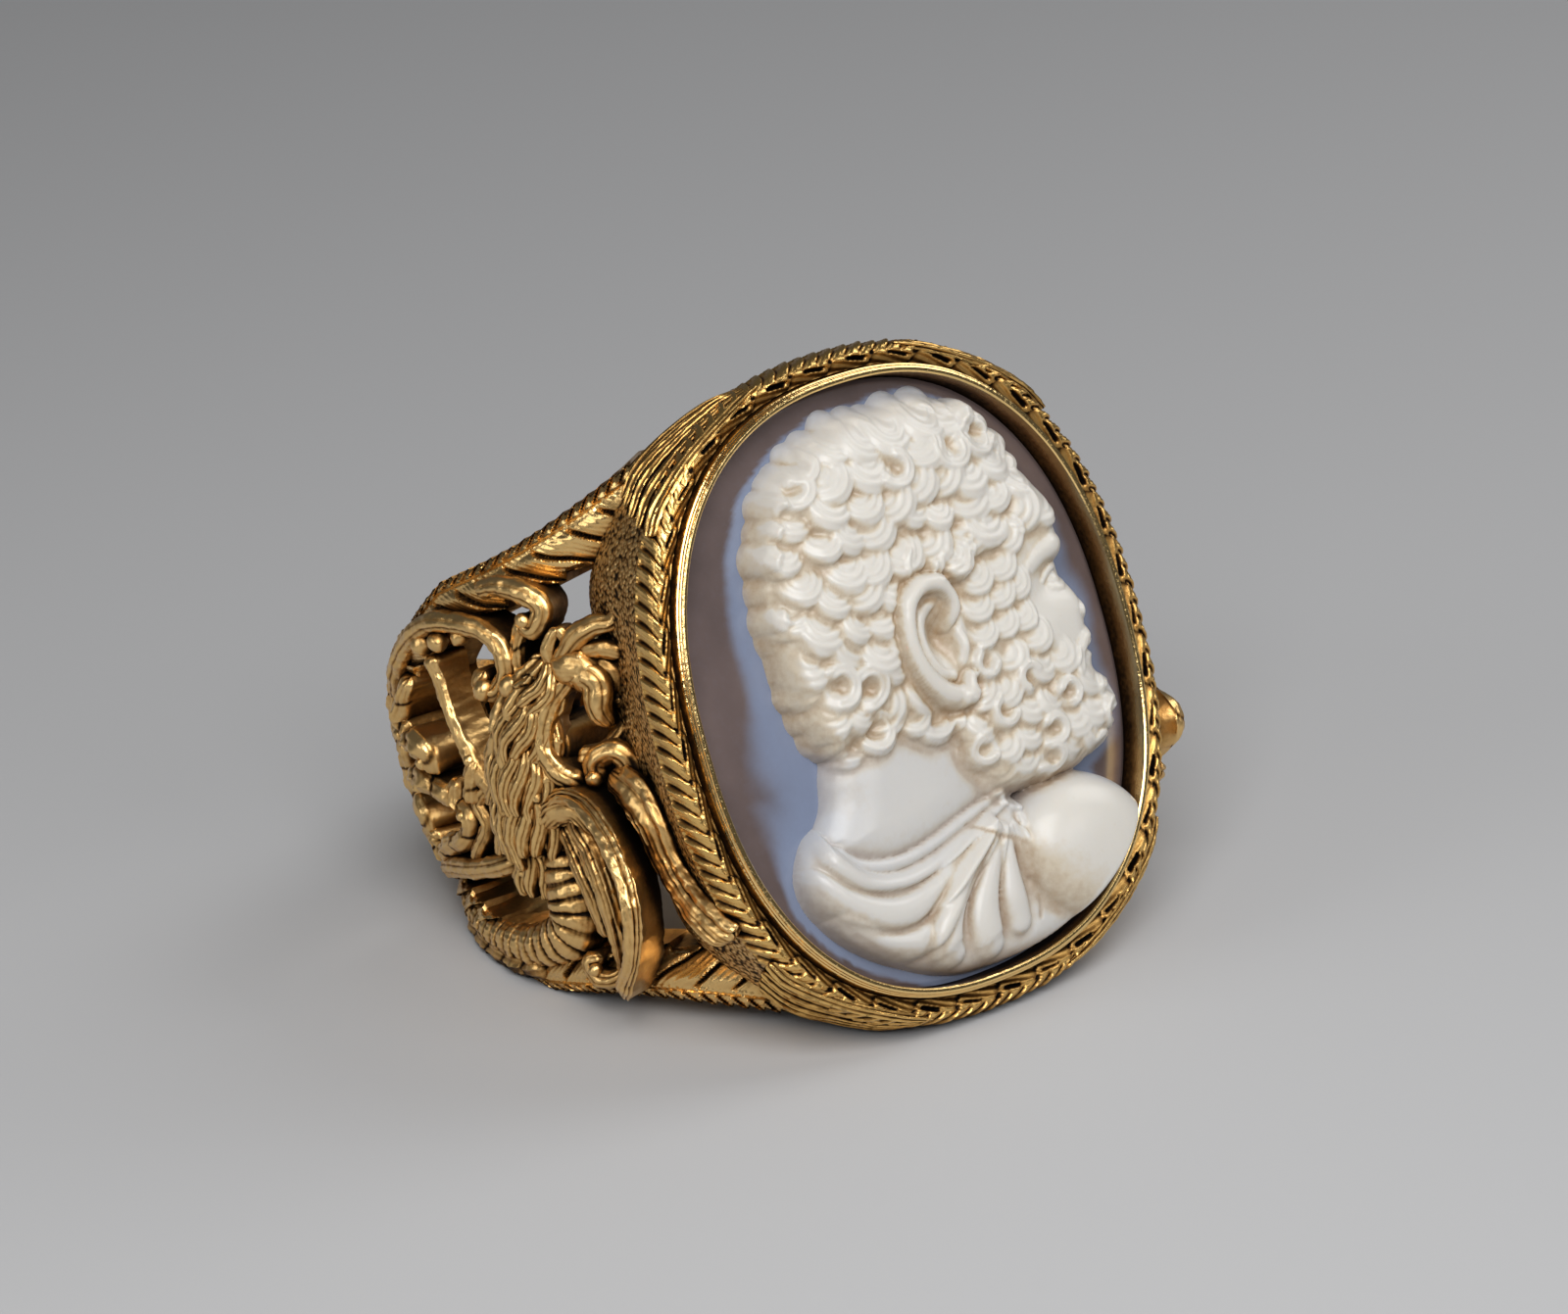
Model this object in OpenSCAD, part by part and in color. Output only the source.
// Cameo ring lying on its side: a gold mount with a tapering band and two pierced shoulders that
// each carry a griffin, a smooth collet, and a layered agate with a bust carved in its white layer.
// Ring frame: +X to the right of the bezel, -Y out of the bezel, +Z along the finger.
// The whole ring then leans back onto the plane of its lower edge, which lies at Z = 0.

/* [Band] */
// Inner diameter of the finger hole
finger_d = 19.4; // [18.2:0.2:20.6]
// Thickness of the plain band at the back
band_t = 1.4; // [1.1:0.1:1.8]
// Width of the plain band at the back
band_w = 7.6; // [6.6:0.2:8.6]
// Thickness of the shoulders' rails, measured out from the finger hole
shoulder_t = 2.8; // [2.5:0.1:3.1]
// Width of the leaf rails along the shoulders' edges
rail_w = 2; // [1.6:0.1:2.4]

/* [Bezel] */
// Width of the bezel across the finger
bezel_w = 25; // [24.4:0.2:26.4]
// Height of the bezel along the finger
bezel_h = 28; // [27:0.2:30]
// Squareness of the oval: 2 is a plain ellipse
oval_power = 2.33; // [2.1:0.05:2.6]
// Height of the rim's plane above the finger hole
bezel_rise = 4.9; // [4.5:0.1:5.6]
// Width of the leaf border on the rim
border_w = 1.1; // [1:0.05:1.4]
// Depth of the border's outer edge below the rim's plane
border_t = 1.1; // [1:0.1:1.4]
// Fall of the border's face from its inner to its outer edge
border_fall = 0.5; // [0.3:0.05:0.7]
// Height of one border leaf over the next
leaf_cut = 0.15; // [0.06:0.01:0.25]
// Number of leaves round the border
leaf_count = 38; // [30:2:46]

/* [Stone] */
// Width of the smooth collet's lip
lip_w = 0.4; // [0.3:0.05:0.6]
// Height of the collet's lip over the rim's plane
lip_rise = 0.32; // [0.2:0.02:0.5]
// Depth of the stone's face below the rim's plane
stone_drop = 1; // [0.8:0.05:1.2]
// Thickness of the brown layer
ground_t = 1.4; // [1.2:0.1:1.6]
// Height of the carved white layer
relief_h = 3.1; // [2.6:0.1:3.5]
// Gap kept between two pieces
gap = 0.04; // [0.02:0.01:0.06]

/* [Hidden] */

finger_r = finger_d / 2;
band_r = finger_r + band_t;
shoulder_r = finger_r + shoulder_t;
bezel_rx = bezel_w / 2;
bezel_ry = bezel_h / 2;
face_y = finger_r + bezel_rise;
pocket_deep = stone_drop + ground_t;

// Insets of the collet's outer and inner edges and of the stone, from the bezel's outline
collet_in = border_w + gap;
lip_in = collet_in + lip_w;
stone_in = lip_in + gap;
stone_rx = bezel_rx - stone_in;
stone_ry = bezel_ry - stone_in;

// Points round the oval: two to a leaf
oval_n = 2 * leaf_count;

function signed_power(v, p) = sign(v) * pow(abs(v), p);
function oval(rx, ry, a) =
    [rx * signed_power(cos(a), 2 / oval_power), ry * signed_power(sin(a), 2 / oval_power)];

// One ring of points of the oval, inset from the bezel's outline, at a height over the rim's face
function oval_ring(inset, height, lift = 0) = [
    for (i = [0:oval_n - 1])
        let (p = oval(bezel_rx - inset, bezel_ry - inset, 360 * i / oval_n))
        [p[0], -(face_y + height + (i % 2 == 0 ? lift : -lift)), p[1]]
];

// The cup that holds the stone, from its back to the floor of its pocket
CUP = [
    // inset, height, lift of every second point
    [bezel_rx - finger_r - 0.1, -face_y + finger_r * 0.72, 0],
    [1.9, -bezel_rise - 0.4, 0],
    [1.35, -bezel_rise * 0.75, 0],
    [border_w * 0.6, -pocket_deep, 0],
    [border_w * 0.5, -border_t - 0.3, 0],
    [0, -border_t, 0],
    [0, -border_fall, 0],
    [border_w * 0.35, -border_fall * 0.55, leaf_cut],
    [border_w * 0.75, -border_fall * 0.1, leaf_cut],
    [border_w, -leaf_cut, 0],
    [border_w, -pocket_deep, 0]
];

// The edges of the band and the lowest point of the bezel lie in one plane, which sets the lean
taper = (bezel_ry - band_w / 2) / (face_y - border_t + band_r);
lean = atan(taper);
floor_drop = bezel_ry * cos(lean) - (face_y - border_t) * sin(lean);

// Joins rings of points into one solid: capped at both ends, or closed into a loop
module skin(rings, loop = false) {
    count = len(rings[0]);
    sides = [
        for (r = [0:len(rings) - (loop ? 1 : 2)], i = [0:count - 1])
            let (
                a = r * count,
                b = (r + 1) % len(rings) * count,
                j = (i + 1) % count
            )
            each [[a + i, b + i, b + j], [a + i, b + j, a + j]]
    ];
    caps = loop ? [] : [
        [for (i = [0:count - 1]) i],
        [for (i = [count - 1:-1:0]) (len(rings) - 1) * count + i]
    ];
    polyhedron(points = [for (ring = rings) each ring], faces = concat(sides, caps));
}

module cup() {
    skin([for (row = CUP) oval_ring(row[0], row[1], row[2])]);
}

// Half the height of the ring's side at an angle from the bezel. The edge dips behind the bezel.
edge_dip = 0.08;
edge_top = 0.85;

function half_height(angle) =
    min(
        bezel_ry * edge_top,
        band_w / 2 + taper * (band_r + shoulder_r * cos(angle))
            - bezel_ry * edge_dip * sin(max(0, min(180, (angle - 20) * 180 / 70)))
    );

// A place on a shoulder, from its angle, its height and its distance from the finger's axis
function around(side, angle, height, radius) =
    [side * radius * sin(angle), -radius * cos(angle), height];

// Limbs of one shoulder. Rise is a share of the half height at that angle, and depth and radius
// are shares of the shoulder's thickness.
//        angle, rise, depth, radius
NECK = [[58, 0.36, 1.25, 0.34], [65, 0.30, 1.20, 0.42], [72, 0.14, 1.10, 0.52],
        [76, -0.08, 1.05, 0.56], [73, -0.28, 1.05, 0.50]];
SKULL = [[59, 0.46, 1.25, 0.26], [54, 0.43, 1.35, 0.33], [51, 0.35, 1.45, 0.28],
         [50, 0.26, 1.45, 0.23], [51, 0.18, 1.40, 0.15]];
JAW = [[56, 0.33, 1.25, 0.24], [51, 0.27, 1.15, 0.18], [47, 0.21, 1.20, 0.16]];
EAR = [[58, 0.42, 1.30, 0.19], [59.5, 0.57, 1.35, 0.17]];
BROW = [[57, 0.52, 1.25, 0.16], [51, 0.53, 1.35, 0.17], [46, 0.49, 1.20, 0.15]];
WING = [[70, -0.14, 1.35, 0.26], [65, -0.09, 1.75, 0.22], [59, -0.11, 2.20, 0.20],
        [53.5, -0.26, 2.60, 0.20], [51, -0.48, 2.80, 0.22], [53, -0.66, 2.50, 0.22],
        [58, -0.84, 1.80, 0.20], [64, -0.95, 1.20, 0.16]];
BLADE = [[65, -0.20, 1.60, 0.30], [60, -0.42, 1.80, 0.26], [60, -0.66, 1.55, 0.20]];
PLUME = [[63, 0.05, 1.25, 0.22], [57, 0.05, 1.35, 0.23], [53, -0.02, 1.40, 0.23],
         [52, -0.17, 1.38, 0.17]];
FAR_WING = [[53, 0.02, 1.20, 0.20], [49, -0.15, 1.22, 0.21], [46, -0.38, 1.22, 0.20],
            [43, -0.58, 1.25, 0.19], [41.5, -0.69, 1.28, 0.18]];
TAIL = [[69, -0.28, 1.00, 0.40], [67.5, -0.46, 1.00, 0.44], [71, -0.63, 0.98, 0.43],
        [78, -0.72, 0.94, 0.36], [88, -0.76, 0.90, 0.30], [99, -0.79, 0.90, 0.25],
        [112, -0.79, 0.92, 0.21], [127, -0.76, 0.86, 0.18]];
CURL = [[62, -0.86, 1.05, 0.15], [67, -0.90, 1.05, 0.17], [70.5, -0.87, 1.05, 0.20]];
LEG = [[77, -0.18, 1.00, 0.30], [84, -0.33, 1.00, 0.20], [95, -0.42, 1.05, 0.18],
       [108, -0.40, 1.12, 0.18], [120, -0.50, 1.12, 0.18], [135, -0.50, 0.88, 0.18],
       [148, -0.46, 0.44, 0.18]];
PAW = [[75, -0.32, 0.97, 0.21], [72, -0.44, 0.98, 0.17]];
SCROLL = [[134, 0.72, 0.84, 0.18], [119, 0.79, 0.96, 0.19], [104, 0.83, 0.98, 0.18],
          [90, 0.84, 1.00, 0.18],
          [78, 0.75, 1.08, 0.18], [70, 0.63, 1.18, 0.17], [67.5, 0.52, 1.20, 0.17],
          [70, 0.43, 1.18, 0.16], [74, 0.45, 1.15, 0.17]];
KNOB = [[61, 0.70, 1.12, 0.22], [66, 0.66, 1.12, 0.17], [68, 0.54, 1.14, 0.16]];
ROD = [[89, 0.70, 0.92, 0.22], [86, 0.52, 1.02, 0.16], [83, 0.32, 1.06, 0.17],
       [79, 0.12, 1.05, 0.22]];
TENDRIL = [[91, 0.66, 0.95, 0.17], [99, 0.54, 1.02, 0.18], [112, 0.56, 1.08, 0.19],
           [126, 0.40, 1.08, 0.19], [141, 0.42, 0.74, 0.18], [150, 0.40, 0.40, 0.17]];
STEM = [[79, 0.16, 1.05, 0.20], [91, 0.20, 1.02, 0.18], [105, 0.13, 1.12, 0.19],
        [121, 0.02, 1.16, 0.19], [136, 0.04, 0.88, 0.19], [149, -0.04, 0.42, 0.18]];
VINE = [[106.5, 0.18, 1.10, 0.16], [114, 0.34, 1.12, 0.17], [123.5, 0.45, 1.08, 0.16]];
FERN = [[90, -0.36, 1.00, 0.17], [102, -0.14, 1.10, 0.18], [115, -0.19, 1.14, 0.18],
        [127, -0.42, 1.02, 0.17]];
KNOBS = [[62.5, 0.72, 1.15, 0.24], [75, 0.46, 1.15, 0.22], [90.6, 0.78, 0.97, 0.25],
         [97.5, 0.79, 0.84, 0.22], [80, 0.10, 1.05, 0.22], [47, 0.20, 1.20, 0.18],
         [71, -0.90, 1.02, 0.24], [79, 0.28, 1.15, 0.20]];
LIMBS = [NECK, SKULL, JAW, EAR, BROW, WING, BLADE, PLUME, FAR_WING, TAIL, CURL, LEG,
         PAW, SCROLL, KNOB, ROD, TENDRIL, STEM, VINE, FERN];

// A strand is a half-round bar that follows a path over a flat sheet and stands on the sheet.
// Its section, as shares of the path's radius: sideways, and up from the path or down to the foot
SECTION = [[-0.8, -1], [-1, 0.1], [0, 1], [1, 0.1], [0.8, -1]];

// A small end past the last point of a path, so that a strand is rounded off
function tip(p, q) =
    let (reach = 0.75 * p[3] / norm([p[0] - q[0], p[1] - q[1]]))
    [p[0] + (p[0] - q[0]) * reach, p[1] + (p[1] - q[1]) * reach, p[2] - 0.3 * p[3], p[3] * 0.45];

function strand(path, foot) =
    let (
        last = len(path) - 1,
        full = concat([tip(path[0], path[1])], path, [tip(path[last], path[last - 1])])
    )
    [
        for (i = [0:last + 2])
            let (
                p = full[i],
                ahead = full[min(i + 1, last + 2)],
                behind = full[max(i - 1, 0)],
                run = [ahead[0] - behind[0], ahead[1] - behind[1]] / norm([
                    ahead[0] - behind[0], ahead[1] - behind[1]
                ])
            )
            [
                for (c = SECTION)
                    [p[0] - c[0] * p[3] * run[1], p[1] + c[0] * p[3] * run[0],
                     c[1] < 0 ? foot : p[2] + c[1] * p[3]]
            ]
    ];

function reversed(rings) = [for (i = [len(rings) - 1:-1:0]) rings[i]];

// A limb is a strand on the unrolled side of the finger hole, rolled back round the finger
module limb(side, rows) {
    arc = shoulder_r * PI / 180;
    rings = strand([
        for (row = rows)
            [row[0] * arc, row[1] * half_height(row[0]), finger_r + row[2] * shoulder_t,
             row[3] * shoulder_t]
    ], finger_r - gap);
    rolled = [for (ring = rings) [for (p = ring) around(side, p[0] / arc, p[1], p[2])]];
    skin(side > 0 ? reversed(rolled) : rolled);
}

// Everything round the finger is laid out on the same steps of angle
turn_step = 5;
turn_fn = 360 / turn_step;

// A knob is a round head on a short post
module knob(side, row) {
    translate([0, 0, row[1] * half_height(row[0])])
        rotate([90, 0, side * row[0]])
            hull() {
                translate([0, 0, finger_r + row[2] * shoulder_t])
                    sphere(row[3] * shoulder_t, $fn = 6);
                translate([0, 0, finger_r - gap])
                    cylinder(h = shoulder_t * 0.3, r = row[3] * shoulder_t * 0.6, $fn = 4);
            }
}

// A leaf rail runs along each edge of a shoulder, from the bezel to the band
rail_start = 24;
rail_end = 159;
rail_fade = 0.03;
rail_tail = 0.47;
leaf_rise = 0.09;

function rail_height(angle) =
    1 - rail_fade * max(0, min(1, (angle - 80) / 40))
        - rail_tail * max(0, min(1, (angle - 132) / 26));

module rail(side, edge) {
    steps = (rail_end - rail_start) / turn_step;
    sections = [
        for (i = [0:steps])
            let (
                angle = rail_start + i * turn_step,
                leaf = i % 2 * leaf_rise,
                inner = finger_r - gap,
                outer = finger_r + shoulder_t * (rail_height(angle) + leaf),
                crest = outer - shoulder_t * 0.12,
                top = half_height(angle),
                foot = top - rail_w * (angle < 90 ? 1 : rail_height(angle))
            )
            [
                for (p = [[inner, foot], [crest, foot], [outer, (foot + top) / 2],
                          [crest, top], [inner, top]])
                    around(side, angle, edge * p[1], p[0])
            ]
    ];
    skin(side * edge > 0 ? reversed(sections) : sections);
}

// The plain band, from shoulder to shoulder round the back
band_start = 141;

module band() {
    rotate([0, 0, band_start - 90])
        rotate_extrude(angle = 360 - 2 * band_start, $fn = turn_fn)
            translate([finger_r - gap * 2, -bezel_ry])
                square([band_t + gap * 2, bezel_h]);
}

// Everything between the two planes that the ring's edges lie in
module between_edges() {
    front = face_y * 1.5;
    back = band_r * 1.5;
    high = band_w / 2 + taper * (band_r + front);
    low = band_w / 2 + taper * (band_r - back);
    rotate([90, 0, 90])
        linear_extrude(bezel_w * 2, center = true)
            polygon([[-front, -high], [back, -low], [back, low], [-front, high]]);
}

module hoop() {
    intersection() {
        union() {
            band();
            for (side = [-1, 1]) {
                for (edge = [-1, 1]) rail(side, edge);
                for (rows = LIMBS) limb(side, rows);
                for (row = KNOBS) knob(side, row);
            }
        }
        between_edges();
    }
}

module pocket() {
    skin([oval_ring(border_w, -pocket_deep), oval_ring(border_w, bezel_rise)]);
}

module mount() {
    color("goldenrod")
        difference() {
            union() {
                cup();
                difference() {
                    hoop();
                    pocket();
                }
            }
            rotate(turn_step / 2)
                cylinder(h = bezel_h * 2, r = finger_r, center = true, $fn = turn_fn);
        }
}

// The smooth ring that grips the stone, inside the leaf border
COLLET = [
    // inset as a share of the lip, height
    [0, -pocket_deep + gap],
    [0, 0],
    [0.6, lip_rise],
    [1, lip_rise - 0.04],
    [1, -pocket_deep + gap]
];

module collet() {
    color("gold")
        skin([for (row = COLLET) oval_ring(collet_in + row[0] * lip_w, row[1])], loop = true);
}

bevel = 0.15;

module stone_ground() {
    color("rosybrown")
        skin([
            oval_ring(stone_in, -pocket_deep + gap),
            oval_ring(stone_in, -stone_drop - bevel),
            oval_ring(stone_in + bevel, -stone_drop)
        ]);
}

// The bust is laid out on the stone's face. X and widths are shares of the stone's half width,
// Y and heights of its half height, and rises of the relief's height.
function spot(x, y, rise) = [x * stone_rx, y * stone_ry, rise * relief_h];

// Outline of one round mass, from its foot to its top
DOME = [[0, 0], [1, 0], [0.98, 0.42], [0.84, 0.74], [0.5, 0.94], [0, 1]];

MASSES = [
    // x, y, half width, half height, rise, turn
    [0.10, 0.36, 0.64, 0.51, 0.76, 0],
    [0.50, 0.10, 0.34, 0.38, 0.64, 0],
    [0.50, -0.24, 0.38, 0.20, 0.66, -6],
    [-0.20, -0.32, 0.38, 0.27, 0.50, -15],
    [0.50, -0.715, 0.31, 0.24, 0.96, 0],
    [-0.31, -0.66, 0.45, 0.22, 0.50, -22],
    [0.07, -0.76, 0.30, 0.20, 0.56, 0]
];

// The face looks right and a little up: brow, nose and chin each stand a third of its height apart
PROFILE = [
    // x, y
    [0.72, 0.60], [0.76, 0.53], [0.80, 0.40], [0.817, 0.265], [0.776, 0.217], [0.83, 0.128],
    [0.912, 0.044], [0.90, 0.016], [0.835, 0], [0.858, -0.048], [0.817, -0.076],
    [0.85, -0.108], [0.812, -0.144], [0.885, -0.21], [0.89, -0.30], [0.80, -0.41],
    [0.57, -0.46], [0.22, -0.44], [0.04, -0.24], [0.09, 0.24], [0.40, 0.52]
];

// Ridges of the face, ear and cloak. Each row holds x, y, rise and radius
BROWS = [[0.80, 0.27, 0.42, 0.035], [0.70, 0.285, 0.58, 0.040], [0.60, 0.26, 0.66, 0.030]];
NOSE = [[0.790, 0.209, 0.413, 0.035], [0.829, 0.121, 0.449, 0.040], [0.878, 0.049, 0.476, 0.045]];
LIPS = [[0.83, -0.05, 0.42, 0.025], [0.75, -0.07, 0.54, 0.030]];
CHIN = [[0.825, -0.105, 0.42, 0.025], [0.75, -0.105, 0.54, 0.030]];
EAR_RIM = [[0.09, 0.03, 0.80, 0.030], [0.155, 0.15, 0.84, 0.035], [0.135, 0.265, 0.83, 0.040],
           [0.03, 0.305, 0.86, 0.035], [-0.06, 0.23, 0.86, 0.030], [-0.05, 0.10, 0.84, 0.035],
           [0.02, -0.055, 0.78, 0.045]];
FOLDS = [
    [[-0.678, -0.402, 0.293, 0.050], [-0.487, -0.575, 0.497, 0.060], [-0.242, -0.594, 0.593, 0.060],
     [0.055, -0.517, 0.678, 0.050]],
    [[-0.694, -0.544, 0.293, 0.050], [-0.452, -0.665, 0.525, 0.050], [-0.185, -0.685, 0.620, 0.050],
     [0.065, -0.552, 0.703, 0.040]],
    [[-0.617, -0.672, 0.297, 0.050], [-0.396, -0.766, 0.525, 0.050], [-0.150, -0.743, 0.646, 0.050],
     [0.080, -0.577, 0.718, 0.040]],
    [[-0.475, -0.785, 0.273, 0.050], [-0.281, -0.844, 0.502, 0.050], [-0.077, -0.792, 0.655, 0.050],
     [0.095, -0.598, 0.748, 0.040]],
    [[-0.276, -0.877, 0.272, 0.050], [-0.116, -0.893, 0.522, 0.047], [0.010, -0.800, 0.697, 0.050],
     [0.125, -0.619, 0.764, 0.040]],
    [[-0.075, -0.923, 0.287, 0.050], [0.012, -0.909, 0.539, 0.050], [0.089, -0.819, 0.741, 0.050],
     [0.159, -0.620, 0.776, 0.040]],
    [[0.109, -0.940, 0.284, 0.050], [0.146, -0.908, 0.532, 0.050], [0.176, -0.823, 0.760, 0.050],
     [0.195, -0.631, 0.782, 0.040]]
];

mass_fn = 14;

module mass(row) {
    translate(spot(row[0], row[1], 0))
        rotate(row[5])
            scale([row[2] * stone_rx, row[3] * stone_ry, row[4] * relief_h])
                rotate_extrude($fn = mass_fn) polygon(DOME);
}

module ridge(rows) {
    skin(reversed(strand([
        for (row = rows)
            [row[0] * stone_rx, row[1] * stone_ry, row[2] * relief_h, row[3] * stone_rx]
    ], relief_h * 0.1)));
}

// One curl: a round foot, and a smaller lock pushed to one side on top of it
module curl(row) {
    translate(spot(row[0], row[1], 0))
        rotate(row[5])
            scale([row[2] * stone_rx, row[3] * stone_ry, row[4] * relief_h])
                hull() {
                    cylinder(h = 0.8, r = 1, $fn = 6);
                    translate([0.2, 0, 0])
                        cylinder(h = 1, r = 0.55, $fn = 6);
                }
}

// How far a dome rises at a share of the way out from its middle
function dome_rise(out) = sqrt(max(0, 1 - pow(out, 2.6)));

// Rows of curls wrap the head from the brow over the crown to the nape
CURLS = [
    // share of the way out, first angle, last angle, number of curls
    [0.92, 8, 226, 14],
    [0.71, 18, 238, 11],
    [0.50, 28, 240, 8],
    [0.29, 40, 225, 4],
    [0.09, 60, 170, 2]
];
curl_size = 0.12;

module curls() {
    head = MASSES[0];
    for (row = CURLS, i = [0:row[3] - 1]) {
        angle = row[1] + (row[2] - row[1]) * i / (row[3] - 1);
        out = row[0];
        curl([
            head[0] + head[2] * out * cos(angle),
            head[1] + head[3] * out * sin(angle),
            curl_size, curl_size * 0.8,
            head[4] * dome_rise(out * 0.96) + 0.14,
            angle + 20
        ]);
    }
}

// The beard's curls, in three short rows under the cheek
beard_rows = 3;
beard_curls = 4;

module beard() {
    for (r = [0:beard_rows - 1], i = [0:beard_curls - 1])
        curl([
            0.28 + 0.15 * i - 0.03 * r, -0.12 - 0.115 * r - 0.012 * i,
            0.088, 0.06, 0.82 - 0.06 * r - 0.015 * i * i, 30 * i
        ]);
}

module stone_bust() {
    edge_gap = stone_in + bevel;
    color("ivory")
        translate([0, -(face_y - stone_drop) - gap, 0])
            intersection() {
                rotate([90, 0, 0]) {
                    for (row = MASSES) mass(row);
                    linear_extrude(relief_h * 0.45)
                        polygon([for (p = PROFILE) [p[0] * stone_rx, p[1] * stone_ry]]);
                    for (rows = concat([BROWS, NOSE, LIPS, CHIN, EAR_RIM], FOLDS)) ridge(rows);
                    curls();
                    beard();
                }
                translate([0, face_y, 0])
                    skin([oval_ring(edge_gap, 0), oval_ring(edge_gap, relief_h)]);
            }
}

// Middle of the ring's reach, front to back, once it leans. The bust's shoulder may reach past the rim.
function reach(p) = -p[1] * cos(lean) - p[2] * sin(lean);
SHOULDER = MASSES[4];
reach_front = max(
    max([for (row = CUP, p = oval_ring(row[0], row[1], row[2])) reach(p)]),
    max([
        for (p = DOME, i = [0:mass_fn - 1])
            reach([
                0,
                -(face_y - stone_drop) - gap - p[1] * SHOULDER[4] * relief_h,
                (SHOULDER[1] + SHOULDER[3] * p[0] * sin(360 * i / mass_fn)) * stone_ry
            ])
    ])
);
reach_back = band_r * cos(lean) + band_w / 2 * sin(lean);
middle_y = (reach_back - reach_front) / 2;

// Stands a piece on the plane that the ring lies on
module laid() {
    translate([0, -middle_y, floor_drop])
        rotate([-lean, 0, 0])
            children();
}

laid() mount();
laid() collet();
laid() stone_ground();
laid() stone_bust();
